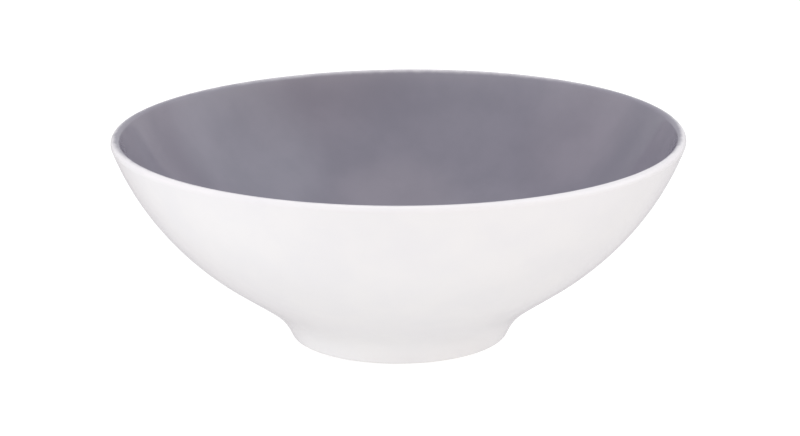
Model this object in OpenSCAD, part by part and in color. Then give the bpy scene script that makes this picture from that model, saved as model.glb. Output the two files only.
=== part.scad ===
// Footed serving bowl: a round fired body, white glaze outside, grey glaze inside that
// thins out over the lip, and a bare foot ring that it stands on.
// Millimetres, +Z up, origin on the table at the centre of the foot.

/* [Bowl] */
// Diameter across the rim
rim_d = 250; // [225:1:275]
// Height from the table to the top of the lip
height = 91.6; // [84:0.2:98]
// Outward lean of the wall at the rim, in degrees from vertical
rim_lean = 20; // [16:0.5:24]

/* [Wall] */
// Thickness of the rounded lip
lip_t = 4.1; // [3.4:0.1:5]
// Thickness of the wall at its waist
waist_t = 5; // [4:0.1:6]
// Height of the inner floor at its centre
floor_z = 11.6; // [10.5:0.1:13]

/* [Waist] */
// Radius of the outer wall where its curve turns from hollow to full
waist_r = 77.6; // [73:0.2:82]
// Height of that turning line
waist_z = 28; // [26:0.2:30]
// Lean of the outer wall there, in degrees from vertical
waist_lean = 55; // [52:0.5:58]

/* [Foot] */
// Outer diameter of the foot at the table, before its edge is rounded
foot_d = 95; // [90:1:100]
// Width of the foot ring at the table
foot_w = 6; // [5:0.1:7]
// Lean of the foot's outer face, in degrees from vertical
foot_lean = 27; // [20:1:32]
// Height of the foot's straight outer face, above which it sweeps out into the wall
foot_h = 3.1; // [2:0.1:4]
// Rounding of the foot ring's two lower edges
foot_edge_r = 1.2; // [0.8:0.1:1.6]
// Height of the hollow inside the foot ring at its rim
recess_z = 4.6; // [4:0.1:5]
// How much higher that hollow is at its centre
recess_rise = 0.7; // [0:0.1:1]

/* [Glaze] */
// Thickness of the glaze
glaze_t = 0.3; // [0.2:0.05:0.5]

/* [Hidden] */
$fn = 180;

// Shares of a span's length that its two Bezier handles take
hollow_handles = [0.284, 0.559];
full_handles = [0.253, 0.418];
inner_handles = [0.42, 0.26];
floor_handles = [0.38, 0.42];
recess_handles = [0.4, 0.4];

// Steps along each stretch of the profile
edge_steps = 6;
hollow_steps = 14;
wall_steps = 32;
lip_steps = 8;
floor_steps = 24;
recess_steps = 8;
// Steps over which a glaze edge swells from nothing to its full thickness
feather_steps = 4;

// Angle on the foot ring's lower edges where glaze gives way to the bare ring
bare_edge_a = 45;
// Lean of the foot ring's inner face, the height where it turns, and the run of the turn
inner_lean = 15;
turn_z = 2.4;
turn_run = 5;

rim_r = rim_d / 2;
foot_r = foot_d / 2;
lip_r = lip_t / 2;
lip_centre = [rim_r - lip_r, height - lip_r];
waist = [waist_r, waist_z];
inward = [-1, 0];

// ---- Profile lines: lists of [radius, height] points ----

// Unit step up a wall that leans outward by that many degrees from vertical
function up(lean) = [sin(lean), cos(lean)];
// The same step turned a quarter turn, from the outer face into the wall
function into(lean) = [-cos(lean), sin(lean)];

function last(line) = line[len(line) - 1];
function rest(line) = [for (i = [1:len(line) - 1]) line[i]];
function flip(line) = [for (i = [len(line) - 1:-1:0]) line[i]];

function arc(centre, r, from, to, steps) =
    [for (i = [0:steps]) let (a = from + (to - from) * i / steps) centre + r * [cos(a), sin(a)]];

// Cubic Bezier from p to q that leaves and arrives along two unit steps; it omits p itself
function span(p, q, leave, arrive, handles, steps) =
    let (run = norm(q - p), b = p + leave * run * handles[0], c = q - arrive * run * handles[1])
    [for (i = [1:steps]) let (t = i / steps, s = 1 - t)
        s*s*s * p + 3*s*s*t * b + 3*s*t*t * c + t*t*t * q];

// Distance from a foot face, at the table, to the centre of its edge rounding
function edge_inset(lean) = foot_edge_r * (1 - sin(lean)) / cos(lean);

// Outside: the bare part of the foot's outer edge, then the glazed face up to the top of the lip,
// where the two colours meet
outer_edge_centre = [foot_r - edge_inset(foot_lean), foot_edge_r];
outer_bare = arc(outer_edge_centre, foot_edge_r, -90, -bare_edge_a, edge_steps);
outer_edge = arc(outer_edge_centre, foot_edge_r, -bare_edge_a, -foot_lean, edge_steps);
outer_lip = concat(
    arc(lip_centre, lip_r, -rim_lean, 0, lip_steps),
    rest(arc(lip_centre, lip_r, 0, 90, lip_steps))
);
foot_top = [foot_r + foot_h * tan(foot_lean), foot_h];
outer_skin = concat(
    outer_edge,
    [foot_top],
    span(foot_top, waist, up(foot_lean), up(waist_lean), hollow_handles, hollow_steps),
    span(waist, outer_lip[0], up(waist_lean), up(rim_lean), full_handles, wall_steps),
    rest(outer_lip)
);

// Inside: from the top of the lip down the wall to the middle of the floor
inner_lip = arc(lip_centre, lip_r, 90, 180 - rim_lean, lip_steps);
inner_waist = waist + waist_t * into(waist_lean);
inner_skin = concat(
    rest(inner_lip),
    span(last(inner_lip), inner_waist, -up(rim_lean), -up(waist_lean), inner_handles, wall_steps),
    span(inner_waist, [0, floor_z], -up(waist_lean), inward, floor_handles, floor_steps)
);

// Underside: the bare part of the foot's inner edge, then the glazed hollow inside the ring
inner_edge_centre = [foot_r - foot_w + edge_inset(inner_lean), foot_edge_r];
inner_bare = arc(inner_edge_centre, foot_edge_r, 270, 180 + bare_edge_a, edge_steps);
inner_edge = arc(inner_edge_centre, foot_edge_r, 180 + bare_edge_a, 180 + inner_lean, edge_steps);
turn = last(inner_edge) + (turn_z - last(inner_edge)[1]) / cos(inner_lean) * up(-inner_lean);
roof_edge = [turn[0] - turn_run, recess_z];
roof_centre = [0, recess_z + recess_rise];
underside_skin = concat(
    inner_edge,
    [turn],
    span(turn, roof_edge, up(-inner_lean), inward, recess_handles, recess_steps),
    span(roof_edge, roof_centre, inward, inward, recess_handles, recess_steps)
);

// ---- The glaze: a skin of even depth that thins to nothing at a bare edge ----

function before(line, i) = line[max(i - 1, 0)];
// The profile carries on as its own mirror image past the axis
function after(line, i) = i < len(line) - 1 ? line[i + 1] : [-line[i - 1][0], line[i - 1][1]];
// Unit normal to the left of the way that the line runs
function left(line, i) = let (d = after(line, i) - before(line, i)) [-d[1], d[0]] / norm(d);
function depth(i) = glaze_t * min(1, i / feather_steps);
// The face of the body under a glazed line; side is 1 for its left and -1 for its right
function under(line, side) = [for (i = [0:len(line) - 1]) line[i] + side * depth(i) * left(line, i)];

upper_skin = concat(outer_skin, inner_skin);
upper_face = under(upper_skin, 1);
underside_face = under(underside_skin, -1);
seam = len(outer_skin) - 1;

// One coat of glaze, between a skin and the body's face, from one step to another
module coat(skin, face, from, to) {
    face_from = max(from, 1);
    rotate_extrude()
        polygon(concat([for (i = [from:to]) skin[i]], [for (i = [to:-1:face_from]) face[i]]));
}

// ---- Sub-parts ----

module porcelain_body() {
    color("ivory")
        rotate_extrude()
            polygon(concat(outer_bare, rest(upper_face), flip(rest(underside_face)), flip(inner_bare)));
}

module inner_glaze() {
    color([0.51, 0.5, 0.54])
        coat(upper_skin, upper_face, seam, len(upper_skin) - 1);
}

module outer_glaze() {
    color("white")
        coat(upper_skin, upper_face, 0, seam);
}

module underside_glaze() {
    color("white")
        coat(underside_skin, underside_face, 0, len(underside_skin) - 1);
}

porcelain_body();
inner_glaze();
outer_glaze();
underside_glaze();
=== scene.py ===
from math import cos, pi, radians, sin, tan

import bpy
from mathutils import Matrix, Vector


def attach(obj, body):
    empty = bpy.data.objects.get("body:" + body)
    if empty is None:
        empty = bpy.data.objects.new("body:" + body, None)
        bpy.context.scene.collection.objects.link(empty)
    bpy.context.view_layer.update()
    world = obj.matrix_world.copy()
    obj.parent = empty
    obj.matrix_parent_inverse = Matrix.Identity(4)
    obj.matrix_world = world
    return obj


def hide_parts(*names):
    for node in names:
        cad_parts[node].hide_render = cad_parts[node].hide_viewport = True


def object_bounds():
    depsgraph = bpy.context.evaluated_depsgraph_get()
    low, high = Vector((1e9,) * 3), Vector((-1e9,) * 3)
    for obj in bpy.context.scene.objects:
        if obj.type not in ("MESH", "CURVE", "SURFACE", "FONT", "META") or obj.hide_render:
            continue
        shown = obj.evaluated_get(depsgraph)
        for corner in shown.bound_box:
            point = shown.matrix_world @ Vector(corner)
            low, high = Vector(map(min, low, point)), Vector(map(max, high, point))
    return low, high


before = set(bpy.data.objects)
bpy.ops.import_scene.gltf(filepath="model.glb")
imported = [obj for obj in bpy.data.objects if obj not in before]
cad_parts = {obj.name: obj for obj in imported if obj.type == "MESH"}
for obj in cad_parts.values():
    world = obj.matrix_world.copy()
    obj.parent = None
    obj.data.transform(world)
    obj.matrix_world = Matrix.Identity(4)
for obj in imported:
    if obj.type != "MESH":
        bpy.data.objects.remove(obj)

# Footed serving bowl. Metres, in the CAD frame: +Z up, origin on the table at the centre of the foot.

cad_low, cad_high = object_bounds()
MM = 0.001

# ---- Shape of the bowl, as the CAD model has it ----

RIM_R = (cad_high.x - cad_low.x) / 2
HEIGHT = cad_high.z
RIM_LEAN = radians(20)
LIP_R = 4.1 * MM / 2
FLOOR_Z = 11.6 * MM

WAIST = Vector((77.6, 28)) * MM
WAIST_LEAN = radians(55)
WAIST_T = 5 * MM

FOOT_R = 95 * MM / 2
FOOT_W = 6 * MM
FOOT_LEAN = radians(27)
FOOT_H = 3.1 * MM
FOOT_EDGE_R = 1.2 * MM
RECESS_Z = 4.6 * MM
RECESS_RISE = 0.7 * MM
INNER_LEAN = radians(15)
TURN_Z = 2.4 * MM
TURN_RUN = 5 * MM
BARE_EDGE = radians(45)

GLAZE_T = 0.3 * MM
# A fired bowl is never quite true. The rim of this one dips towards two opposite sides by this much.
DIP = 0.84 * MM

# Shares of a span's length that its two Bezier handles take
HOLLOW_HANDLES = (0.284, 0.559)
FULL_HANDLES = (0.253, 0.418)
INNER_HANDLES = (0.42, 0.26)
FLOOR_HANDLES = (0.38, 0.42)
RECESS_HANDLES = (0.4, 0.4)

# ---- Fineness of the meshes ----

SIDES = 240
EDGE_STEPS = 8
HOLLOW_STEPS = 26
WALL_STEPS = 48
LIP_STEPS = 12
FLOOR_STEPS = 32
RECESS_STEPS = 14
# Length of profile over which a glaze edge swells from nothing to its full thickness
SWELL = 0.45 * MM


# ---- Profile lines: lists of (radius, height) vectors ----

def up(lean):
    """Unit step up a wall that leans outward by lean from vertical."""
    return Vector((sin(lean), cos(lean)))


def into(lean):
    """The same step turned a quarter turn, from the outer face into the wall."""
    return Vector((-cos(lean), sin(lean)))


def arc(centre, radius, start, end, steps):
    angles = [start + (end - start) * i / steps for i in range(steps + 1)]
    return [centre + radius * Vector((cos(a), sin(a))) for a in angles]


def span(p, q, leave, arrive, handles, steps):
    """Cubic Bezier from p to q that leaves and arrives along two unit steps; it omits p itself."""
    run = (q - p).length
    b = p + leave * run * handles[0]
    c = q - arrive * run * handles[1]
    line = []
    for i in range(1, steps + 1):
        t = i / steps
        s = 1 - t
        line.append(s**3 * p + 3 * s * s * t * b + 3 * s * t * t * c + t**3 * q)
    return line


def edge_inset(lean):
    """Distance from a foot face, at the table, to the centre of its edge rounding."""
    return FOOT_EDGE_R * (1 - sin(lean)) / cos(lean)


INWARD = Vector((-1, 0))
LIP_CENTRE = Vector((RIM_R - LIP_R, HEIGHT - LIP_R))


def outer_lines():
    """The bare part of the foot's outer edge, and the glazed face from there to the top of the lip."""
    centre = Vector((FOOT_R - edge_inset(FOOT_LEAN), FOOT_EDGE_R))
    bare = arc(centre, FOOT_EDGE_R, -pi / 2, -BARE_EDGE, EDGE_STEPS)
    edge = arc(centre, FOOT_EDGE_R, -BARE_EDGE, -FOOT_LEAN, EDGE_STEPS)
    foot_top = Vector((FOOT_R + FOOT_H * tan(FOOT_LEAN), FOOT_H))
    straight = [edge[-1].lerp(foot_top, share / 4) for share in range(1, 5)]
    lip = arc(LIP_CENTRE, LIP_R, -RIM_LEAN, 0, LIP_STEPS)
    lip += arc(LIP_CENTRE, LIP_R, 0, pi / 2, 2 * LIP_STEPS)[1:]
    skin = edge + straight
    skin += span(foot_top, WAIST, up(FOOT_LEAN), up(WAIST_LEAN), HOLLOW_HANDLES, HOLLOW_STEPS)
    skin += span(WAIST, lip[0], up(WAIST_LEAN), up(RIM_LEAN), FULL_HANDLES, WALL_STEPS)
    skin += lip[1:]
    return bare, skin


def inner_line():
    """The glazed inside, from the top of the lip down to the middle of the floor."""
    lip = arc(LIP_CENTRE, LIP_R, pi / 2, pi - RIM_LEAN, 2 * LIP_STEPS)
    waist = WAIST + WAIST_T * into(WAIST_LEAN)
    centre = Vector((0, FLOOR_Z))
    skin = lip + span(lip[-1], waist, -up(RIM_LEAN), -up(WAIST_LEAN), INNER_HANDLES, WALL_STEPS)
    return skin + span(waist, centre, -up(WAIST_LEAN), INWARD, FLOOR_HANDLES, FLOOR_STEPS)


def underside_lines():
    """The bare part of the foot's inner edge, and the glazed hollow inside the ring."""
    centre = Vector((FOOT_R - FOOT_W + edge_inset(INNER_LEAN), FOOT_EDGE_R))
    bare = arc(centre, FOOT_EDGE_R, 3 * pi / 2, pi + BARE_EDGE, EDGE_STEPS)
    edge = arc(centre, FOOT_EDGE_R, pi + BARE_EDGE, pi + INNER_LEAN, EDGE_STEPS)
    turn = edge[-1] + (TURN_Z - edge[-1].y) / cos(INNER_LEAN) * up(-INNER_LEAN)
    roof = Vector((turn.x - TURN_RUN, RECESS_Z))
    middle = Vector((0, RECESS_Z + RECESS_RISE))
    skin = edge + [edge[-1].lerp(turn, 0.5), turn]
    skin += span(turn, roof, up(-INNER_LEAN), INWARD, RECESS_HANDLES, RECESS_STEPS)
    return bare, skin + span(roof, middle, INWARD, INWARD, RECESS_HANDLES, RECESS_STEPS)


def lengths(line):
    """Distance along a profile line from its start to each of its points."""
    total, found = 0, [0]
    for a, b in zip(line, line[1:]):
        total += (b - a).length
        found.append(total)
    return found


def under(line, side, swells=True):
    """The body's face under a glazed line. side is 1 for the line's left and -1 for its right."""
    face = []
    for i, (point, along) in enumerate(zip(line, lengths(line))):
        before = line[max(i - 1, 0)]
        after = line[i + 1] if i + 1 < len(line) else Vector((-before.x, before.y))
        way = (after - before).normalized()
        share = min(1, along / SWELL) if swells else 1
        depth = GLAZE_T * (share * (2 - share)) ** 0.5
        face.append(point + side * depth * Vector((-way.y, way.x)))
    return face


# ---- Lathed meshes ----

def dipped(x, y, z):
    """The place of a point of the true bowl once its rim has dipped. The foot stays flat."""
    return x, y, z - DIP * z / HEIGHT * ((x - y) / RIM_R) ** 2 / 2


def lathe(name, outline, marks=None):
    """A closed solid of revolution, with the rim's dip. The outline runs counter-clockwise in
    (radius, height) and may start and end on the axis. marks gives each outline point a value
    that the mesh keeps as the attribute "along"."""
    vertices, rings, values = [], [], []
    for k, point in enumerate(outline):
        on_axis = abs(point.x) < 1e-7
        count = 1 if on_axis else SIDES
        rings.append(range(len(vertices), len(vertices) + count))
        for j in range(count):
            a = 2 * pi * j / SIDES
            radius = 0 if on_axis else point.x
            vertices.append(dipped(radius * cos(a), radius * sin(a), point.y))
            values.append(marks[k] if marks else 0)
    faces = []
    for k, ring in enumerate(rings):
        following = rings[(k + 1) % len(rings)]
        if len(ring) == 1 and len(following) == 1:
            continue
        for j in range(SIDES):
            n = (j + 1) % SIDES
            if len(ring) == 1:
                faces.append((ring[0], following[n], following[j]))
            elif len(following) == 1:
                faces.append((ring[j], ring[n], following[0]))
            else:
                faces.append((ring[j], ring[n], following[n], following[j]))
    mesh = bpy.data.meshes.new(name)
    mesh.from_pydata(vertices, [], faces)
    mesh.shade_smooth()
    mesh.set_sharp_from_angle(angle=radians(40))
    if marks:
        mesh.attributes.new("along", "FLOAT", "POINT").data.foreach_set("value", values)
    mesh.validate()
    piece = bpy.data.objects.new(name, mesh)
    bpy.context.scene.collection.objects.link(piece)
    return piece


# ---- Node helpers ----

class Nodes:
    """The node tree of a material or a world, with short calls for the nodes used here."""

    def __init__(self, owner):
        owner.use_nodes = True
        self.owner = owner
        self.tree = owner.node_tree

    def add(self, kind, **settings):
        node = self.tree.nodes.new("ShaderNode" + kind)
        for key, value in settings.items():
            setattr(node, key, value)
        return node

    def feed(self, socket, value):
        """Links value into the socket if it is an output, and otherwise sets it there."""
        if isinstance(value, bpy.types.NodeSocket):
            self.tree.links.new(value, socket)
        else:
            socket.default_value = value

    def find(self, kind):
        return next(node for node in self.tree.nodes if node.type == kind)

    def shader(self, **values):
        """Feeds the Principled shader's own sockets, named with underscores for spaces."""
        principled = self.find("BSDF_PRINCIPLED")
        for key, value in values.items():
            self.feed(principled.inputs[key.replace("_", " ")], value)
        return self.owner

    def vector(self, operation, a, b):
        node = self.add("VectorMath", operation=operation)
        self.feed(node.inputs[0], a)
        self.feed(node.inputs["Scale" if operation == "SCALE" else 1], b)
        return node.outputs["Value" if operation in ("DOT_PRODUCT", "LENGTH") else "Vector"]

    def math(self, operation, a, b):
        node = self.add("Math", operation=operation)
        self.feed(node.inputs[0], a)
        self.feed(node.inputs[1], b)
        return node.outputs["Value"]

    def smooth(self, value, low_in, high_in, low_out=0.0, high_out=1.0):
        """Eases from low_out to high_out as value goes from low_in to high_in, and stops there."""
        node = self.add("MapRange", interpolation_type="SMOOTHSTEP")
        self.feed(node.inputs["Value"], value)
        for key, number in (
            ("From Min", low_in), ("From Max", high_in), ("To Min", low_out), ("To Max", high_out)
        ):
            node.inputs[key].default_value = number
        return node.outputs["Result"]

    def noise(self, place, size, detail=2.0):
        """Smooth noise from 0 to 1 whose lumps are about size metres across."""
        node = self.add("TexNoise")
        self.feed(node.inputs["Vector"], place)
        node.inputs["Scale"].default_value = 1 / size
        node.inputs["Detail"].default_value = detail
        return node.outputs["Fac"]

    def blend(self, share, a, b):
        """Colour a where share is 0, and b where it is 1."""
        node = self.add("Mix", data_type="RGBA")
        inputs = {s.name: s for s in node.inputs if s.enabled}
        self.feed(inputs["Factor"], share)
        self.feed(inputs["A"], a)
        self.feed(inputs["B"], b)
        return next(s for s in node.outputs if s.enabled)

    def bump(self, height, distance, under=None):
        """A bump of height 0 to 1 over distance metres, on top of another if one is given."""
        node = self.add("Bump")
        node.inputs["Distance"].default_value = distance
        self.feed(node.inputs["Height"], height)
        if under:
            self.feed(node.inputs["Normal"], under)
        return node.outputs["Normal"]


# ---- Materials ----

WHITE = (0.85, 0.838, 0.83, 1)
WHITE_POOLED = (0.83, 0.82, 0.82, 1)
WHITE_SPECK = (0.70, 0.69, 0.67, 1)
GREY = (0.223, 0.213, 0.255, 1)
GREY_POOLED = (0.205, 0.197, 0.238, 1)
GREY_SPECK = (0.15, 0.145, 0.17, 1)
BARE = (0.76, 0.74, 0.70, 1)
BARE_WORN = (0.66, 0.64, 0.61, 1)
GLAZE_IOR = 1.5
GLAZE_ROUGHNESS = (0.07, 0.12)
WORN_ROUGHNESS = 0.6
BARE_ROUGHNESS = 0.75

# Across and deep: the glaze's pinholes, its slow sag, its faint orange peel, and on the bare
# foot the grooves of its grinding and its grain
PINHOLE = (0.25 * MM, 0.01 * MM)
SAG = (30 * MM, 0.03 * MM)
PEEL = (2.2 * MM, 0.0015 * MM)
GROOVE = (0.4 * MM, 0.008 * MM)
GRAIN = (0.5 * MM, 0.02 * MM)
# The pinholes lie in cells this wide, and this share of the cells has one
PINHOLE_CELL = 8 * MM
PINHOLE_SHARE = 0.3
# Sizes of the clouds in each colour and in the glaze's roughness
WHITE_CLOUD = 22 * MM
GREY_CLOUD = 18 * MM
ROUGHNESS_CLOUD = 12 * MM
WORN_PATCH = 9 * MM
# Noise hardly leaves this range
NOISE_LOW = 0.3
NOISE_HIGH = 0.7

# Over the lip the grey glaze thins out, and the white shows through it. Distances are measured
# past the top of the lip and down the inside, and are negative outside.

# First trace of the grey, and where it hides the white along the X axis. Along the Y axis it ran
# thinner, and hides the white this much later. All of it strays a little.
GREY_TRACE = -2.2 * MM
GREY_FULL = 0.5 * MM
GREY_THINNER = 2.9 * MM
GREY_STRAY = 0.3 * MM
STRAY_SIZE = 6 * MM
# Either side of this way from the axis it starts later, by less than half of this
LATER_TO = Vector((0.12, -1, 0))
GREY_LATER = 3.2 * MM
# Share of grey that strayed onto the outer lip this way from the axis, where it is most, and the
# stretch over which it comes in
OVERSPRAY_TO = Vector((0.5, -0.866, 0))
OVERSPRAY = 0.12
OVERSPRAY_TRACE = -3.6 * MM
OVERSPRAY_FULL = -1.8 * MM
# Share of white that still shows through just inside the lip, along the X and the Y axis, and
# the distance down the wall over which it halves. Along the X axis this is partly painted light:
# its long tail lightens the inner walls at the two ends, standing in for light that falls there.
VEIL_AND_PAINTED_LIGHT_X = 0.08
VEIL_Y = 0.16
VEIL_AND_PAINTED_LIGHT_HALF_X = 13 * MM
VEIL_HALF_Y = 4 * MM


def new_nodes(name):
    """A new material's nodes, and object coordinates, which are the row frame's metres."""
    nodes = Nodes(bpy.data.materials.new(name))
    return nodes, nodes.add("TexCoord").outputs["Object"]


def patches(nodes, place, size, low=0.0, high=1.0):
    """Slow clouds from low to high about size metres across."""
    return nodes.smooth(nodes.noise(place, size, 3.0), NOISE_LOW, NOISE_HIGH, low, high)


def specks(nodes, place, spacing, size, share):
    """1 on a few round specks and 0 elsewhere. A share of the cells, spacing metres wide, has one."""
    cells = nodes.add("TexVoronoi")
    nodes.feed(cells.inputs["Vector"], place)
    cells.inputs["Scale"].default_value = 1 / spacing
    inside = nodes.smooth(cells.outputs["Distance"], size / spacing, 0)
    chance = nodes.add("SeparateColor")
    nodes.feed(chance.inputs["Color"], cells.outputs["Color"])
    chosen = nodes.math("LESS_THAN", chance.outputs["Red"], share)
    return nodes.math("MULTIPLY", inside, chosen)


def white(nodes, place, pinholes):
    clouds = nodes.blend(patches(nodes, place, WHITE_CLOUD), WHITE, WHITE_POOLED)
    return nodes.blend(pinholes, clouds, WHITE_SPECK)


def grey(nodes, place, pinholes):
    clouds = nodes.blend(patches(nodes, place, GREY_CLOUD), GREY, GREY_POOLED)
    return nodes.blend(pinholes, clouds, GREY_SPECK)


def towards(nodes, place, way):
    """How far place is from the bowl's axis along way, in rim radii. It is negative behind."""
    return nodes.vector("DOT_PRODUCT", place, way / RIM_R)


def lip_cover(nodes, place, along, to_x, to_y):
    """Share of the white that the grey hides over the lip."""
    stray = patches(nodes, place, STRAY_SIZE, -GREY_STRAY, GREY_STRAY)
    to_front = nodes.math("MAXIMUM", towards(nodes, place, LATER_TO), 0.0)
    later = nodes.math("MULTIPLY", nodes.math("MULTIPLY", to_front, to_x), GREY_LATER)
    met = nodes.math("SUBTRACT", nodes.math("ADD", along, stray), later)
    past_trace = nodes.math("SUBTRACT", met, GREY_TRACE)
    thinner = nodes.math("MULTIPLY", to_y, GREY_THINNER)
    reach = nodes.math("ADD", thinner, GREY_FULL - GREY_TRACE)
    cover = nodes.smooth(nodes.math("DIVIDE", past_trace, reach), 0, 1)
    sprayed = nodes.smooth(along, OVERSPRAY_TRACE, OVERSPRAY_FULL, 0, OVERSPRAY)
    to_spray = nodes.math("MAXIMUM", towards(nodes, place, OVERSPRAY_TO), 0.0)
    return nodes.math("MAXIMUM", cover, nodes.math("MULTIPLY", sprayed, to_spray))


def veil_and_painted_light(nodes, along, to_x, to_y):
    """Share of the white that still shows through the grey inside the lip. Towards the X axis its long
    tail is painted light, which lightens the inner walls at the two ends.
    """
    more = nodes.math("MULTIPLY", nodes.math("POWER", to_y, 2.0), VEIL_Y - VEIL_AND_PAINTED_LIGHT_X)
    painted_light_tail = nodes.math("MULTIPLY", nodes.math("POWER", to_x, 2.0), VEIL_AND_PAINTED_LIGHT_HALF_X - VEIL_HALF_Y)
    halvings = nodes.math("DIVIDE", along, nodes.math("ADD", painted_light_tail, VEIL_HALF_Y))
    left = nodes.math("POWER", 0.5, halvings)
    return nodes.math("MULTIPLY", nodes.math("ADD", more, VEIL_AND_PAINTED_LIGHT_X), left)


def white_to_grey(nodes, place, pinholes):
    """White outside and grey inside, with the change from one to the other over the lip, and painted
    light on the inner walls at the two ends, where the white shows through longer.
    """
    along = nodes.add("Attribute", attribute_name="along").outputs["Fac"]
    to_x = nodes.math("POWER", towards(nodes, place, Vector((1, 0, 0))), 2.0)
    to_y = nodes.math("POWER", towards(nodes, place, Vector((0, 1, 0))), 2.0)
    # The white that shows through inside the lip is partly painted light: along the X axis it lightens
    # the inner walls at the ends.
    hides = nodes.math("SUBTRACT", 1.0, veil_and_painted_light(nodes, along, to_x, to_y))
    cover = nodes.math("MULTIPLY", lip_cover(nodes, place, along, to_x, to_y), hides)
    return nodes.blend(cover, white(nodes, place, pinholes), grey(nodes, place, pinholes))


def glaze(name, colour):
    """A fired glaze with a slow sag, a faint orange peel and a few pinholes in it."""
    nodes, place = new_nodes(name)
    pinhole_size, pinhole_depth = PINHOLE
    sag_size, sag_depth = SAG
    peel_size, peel_depth = PEEL
    pinholes = specks(nodes, place, PINHOLE_CELL, pinhole_size, PINHOLE_SHARE)
    sag = nodes.bump(nodes.noise(place, sag_size, 1.0), sag_depth)
    peel = nodes.bump(nodes.noise(place, peel_size), peel_depth, sag)
    return nodes.shader(
        Base_Color=colour(nodes, place, pinholes),
        Roughness=patches(nodes, place, ROUGHNESS_CLOUD, *GLAZE_ROUGHNESS),
        Normal=nodes.bump(pinholes, -pinhole_depth, peel),
        IOR=GLAZE_IOR,
    )


def bare_porcelain():
    """Unglazed porcelain, ground in rings and rubbed where it meets the table."""
    nodes, place = new_nodes("bare_porcelain")
    worn = patches(nodes, place, WORN_PATCH)
    flat = nodes.vector("MULTIPLY", place, (1, 1, 0))
    from_axis = nodes.vector("LENGTH", flat, (0, 0, 0))
    groove_size, groove_depth = GROOVE
    grain_size, grain_depth = GRAIN
    ground = nodes.bump(nodes.noise(from_axis, groove_size), groove_depth)
    grain = nodes.bump(nodes.noise(place, grain_size, 4.0), grain_depth, ground)
    colour = nodes.blend(worn, BARE, BARE_WORN)
    roughness = nodes.smooth(worn, 0, 1, BARE_ROUGHNESS, WORN_ROUGHNESS)
    return nodes.shader(Base_Color=colour, Roughness=roughness, Normal=grain)


# ---- The bowl's pieces ----

outer_bare, outer_skin = outer_lines()
inner_skin = inner_line()
inner_bare, underside_skin = underside_lines()
upper_skin = outer_skin + inner_skin[1:]
upper_face = under(upper_skin, 1)
underside_face = under(underside_skin, -1)
crest = len(outer_skin) - 1

body = lathe("fired_body", outer_bare + upper_face[1:] + underside_face[:0:-1] + inner_bare[::-1])
before_crest = [along - lengths(outer_skin)[-1] for along in lengths(outer_skin)]
past_crest = lengths(inner_skin)
outer_coat = lathe(
    "outer_coat", outer_skin + upper_face[crest:0:-1], before_crest + before_crest[:0:-1]
)
inner_coat = lathe("inner_coat", inner_skin + upper_face[:crest - 1:-1], past_crest + past_crest[::-1])
underside_coat = lathe("underside_coat", underside_face[1:] + underside_skin[::-1])

for piece, node, slot, material in (
    (body, "porcelain_body", "bare_porcelain", bare_porcelain()),
    (outer_coat, "outer_glaze", "white_glaze", glaze("white_glaze", white_to_grey)),
    (inner_coat, "inner_glaze", "grey_glaze", glaze("grey_glaze", white_to_grey)),
    (underside_coat, "underside_glaze", "white_glaze", glaze("underside_glaze", white)),
):
    piece.data.materials.append(material)
    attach(piece, "root")
    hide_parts(node)

# ---- Stage: floor, light and camera ----

FLOOR_SIZE = 8
FLOOR_ALBEDO = 0.3
FLOOR_GLOW = 0.77
# The floor lies this much below the foot, so that the two faces don't coincide
FLOOR_GAP = 0.05 * MM


def make_floor():
    """A pale floor that glows a little, as a light table does, so that shadows stay faint.
    The bowl's glaze mirrors the world's lower half in its place."""
    half = FLOOR_SIZE / 2
    mesh = bpy.data.meshes.new("floor")
    corners = [(-half, -half, 0), (half, -half, 0), (half, half, 0), (-half, half, 0)]
    mesh.from_pydata(corners, [], [(0, 1, 2, 3)])
    nodes = Nodes(bpy.data.materials.new("floor"))
    grey = (FLOOR_ALBEDO, FLOOR_ALBEDO, FLOOR_ALBEDO, 1)
    white = (1, 1, 1, 1)
    mesh.materials.append(
        nodes.shader(Base_Color=grey, Roughness=0.9, Emission_Color=white, Emission_Strength=FLOOR_GLOW)
    )
    floor = bpy.data.objects.new("floor", mesh)
    floor.location.z = -FLOOR_GAP
    floor.visible_glossy = False
    bpy.context.scene.collection.objects.link(floor)


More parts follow.
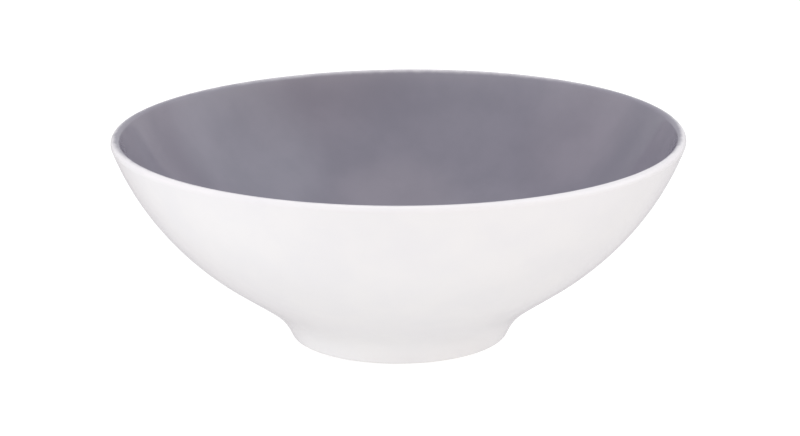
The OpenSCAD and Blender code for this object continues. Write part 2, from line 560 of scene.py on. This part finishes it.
# A soft light seen from the bowl: azimuth (0 is towards the camera and 90 to its right),
# elevation, the angular radius where it is half as bright, the angle it fades over each
# side of that, and its radiance
LIGHTS_ABOVE = (
    (90, 35, 26, 12, (0.80, 0.88, 0.92)),
    (105, 14, 16, 10, (0.36, 0.30, 0.33)),
    (-97, 24, 20, 11, (0.79, 0.68, 0.70)),
    (0, 88, 14, 9, (0.65, 0.53, 0.50)),
    (0, 80, 35, 20, (0.42, 0.44, 0.46)),
    (-45, 15, 30, 20, (0.59, 0.60, 0.64)),
    (45, 15, 30, 20, (0.34, 0.21, 0.15)),
    (138, 14, 12, 9, (0.15, 0.11, 0.13)),
    (-150, 62, 18, 12, (0.34, 0.33, 0.34)),
)
LIGHTS_BELOW = (
    (180, -15, 35, 25, (0.44, 0.41, 0.43)),
    (-90, -20, 35, 25, (0.54, 0.56, 0.56)),
)
SKY = (0.62, 0.62, 0.65)
GROUND = (0.13, 0.14, 0.14)
# Height, in a unit direction, over which the two halves of the world blend
HORIZON = 0.002


def direction(azimuth, elevation):
    a, e = radians(azimuth), radians(elevation)
    return Vector((sin(a) * cos(e), -cos(a) * cos(e), sin(e)))


def make_world():
    """A studio of soft round lights in an even white sky, and a dimmer lower half."""
    nodes = Nodes(bpy.data.worlds.new("studio"))
    way = nodes.add("TexCoord").outputs["Generated"]

    def half(plain, lights):
        total = plain
        for azimuth, elevation, radius, fade, radiance in lights:
            across = nodes.vector("DOT_PRODUCT", way, direction(azimuth, elevation))
            dark, full = cos(radians(radius + fade)), cos(radians(radius - fade))
            light = nodes.vector("SCALE", radiance, nodes.smooth(across, dark, full))
            total = nodes.vector("ADD", total, light)
        return total

    height = nodes.vector("DOT_PRODUCT", way, (0, 0, 1))
    above, below = half(SKY, LIGHTS_ABOVE), half(GROUND, LIGHTS_BELOW)
    light = nodes.blend(nodes.smooth(height, -HORIZON, HORIZON), below, above)
    nodes.feed(nodes.find("BACKGROUND").inputs["Color"], light)
    bpy.context.scene.world = nodes.owner


# The camera looks along +Y, a little down, through a long lens
CAMERA_TARGET = Vector((0.47, 0, 51.58)) * MM
CAMERA_DISTANCE = 1.15
CAMERA_ELEVATION = 15.76
CAMERA_ROLL = radians(-0.38)
LENS = 117.5


def make_camera():
    data = bpy.data.cameras.new("camera")
    data.lens = LENS
    data.sensor_width = 36
    camera = bpy.data.objects.new("camera", data)
    back = direction(0, CAMERA_ELEVATION)
    camera.location = CAMERA_TARGET + CAMERA_DISTANCE * back
    turn = (-back).to_track_quat("-Z", "Y").to_matrix() @ Matrix.Rotation(CAMERA_ROLL, 3, "Z")
    camera.rotation_euler = turn.to_euler()
    bpy.context.scene.collection.objects.link(camera)
    bpy.context.scene.camera = camera


make_floor()
make_world()
make_camera()
bpy.context.scene.view_settings.view_transform = "Standard"
bpy.context.scene.view_settings.look = "None"
